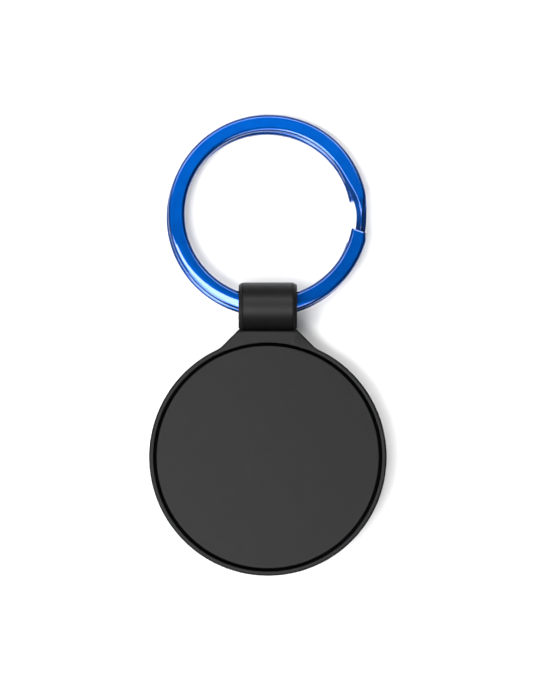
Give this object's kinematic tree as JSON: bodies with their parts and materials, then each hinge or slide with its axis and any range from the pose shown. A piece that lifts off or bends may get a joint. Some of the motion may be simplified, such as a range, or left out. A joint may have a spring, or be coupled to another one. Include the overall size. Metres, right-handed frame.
{
  "type": "bluetooth tracker tag",
  "caption": "Round flat bluetooth key finder tag with a press-in front plate, a hanger barrel with a bush, a flat split ring and a coin-turned battery door.",
  "frame": {"origin": "centre of the round body on the plane of its back, on which the tag lies", "axes": "+Z out of the front face, +Y from the body to the split ring, +X to the right as the front is seen with the ring up"},
  "size_m": [0.035, 0.0683, 0.0082],
  "materials": {
    "frame_plastic": "fine matte texture",
    "plate_plastic": "fine matte texture",
    "shell_plastic": "fine matte texture",
    "foam": "closed-cell foam",
    "bush_metal": "black oxide, satin",
    "blue_metal": "glossy blue anodised look",
    "board": "green solder mask",
    "steel": "bright",
    "chip_resin": "moulded resin",
    "ceramic": "white ceramic",
    "capacitor": "tan ceramic",
    "contact_metal": "gold-plated",
    "membrane": "fine mesh",
    "cell_steel": "nickel-plated",
    "cell_gasket": "nylon",
    "seal_rubber": "smooth silicone"
  },
  "bodies": {
    "housing": {"front_frame": "frame_plastic", "rear_shell": "shell_plastic", "foam_ring": "foam", "circuit_board": "board", "board_screws": "steel", "metal_dome": "steel", "radio_chip": "chip_resin", "crystal": "steel", "chip_antenna": "ceramic", "sounder": "chip_resin", "sounder_driver": "chip_resin", "bulk_capacitors": "capacitor", "chip_passives": "capacitor", "negative_contact": "contact_metal", "positive_contacts": "contact_metal", "sound_membrane": "membrane", "cell_can": "cell_steel", "cell_gasket": "cell_gasket", "cell_cap": "cell_steel"},
    "button": {"front_plate": "plate_plastic"},
    "bush": {"ring_bush": "bush_metal"},
    "ring": {"split_ring": "blue_metal"},
    "seal": {"door_seal": "seal_rubber"},
    "door": {"battery_door": "shell_plastic"}
  },
  "joints": [
    {"name": "front_press", "type": "slide", "parent": "housing", "child": "button", "axis": [0, 0, -1], "range_m": [0, 0.0002], "stiffness_N_per_m": 1000, "springref_m": -0.001, "deforming": ["foam_ring", "metal_dome"]},
    {"name": "ring_swing", "type": "hinge", "parent": "housing", "child": "bush", "pos_m": [0, 0.0222, 0.0047], "axis": [1, 0, 0], "range_deg": [-140, 166]},
    {"name": "ring_slide", "type": "hinge", "parent": "bush", "child": "ring", "pos_m": [0, 0.03574, 0.00301], "axis": [0, 0.1236, 0.9923], "continuous": true},
    {"name": "door_rise", "type": "slide", "parent": "housing", "child": "seal", "axis": [0, 0, -1], "range_m": [0, 0.00021]},
    {"name": "door_twist", "type": "hinge", "parent": "seal", "child": "door", "pos_m": [0, 0, 0], "axis": [0, 0, -1], "range_deg": [0, 35]}
  ],
  "couplings": [
    {"joint": "door_twist", "follows": "door_rise", "rad_per_m": 2908.9}
  ]
}
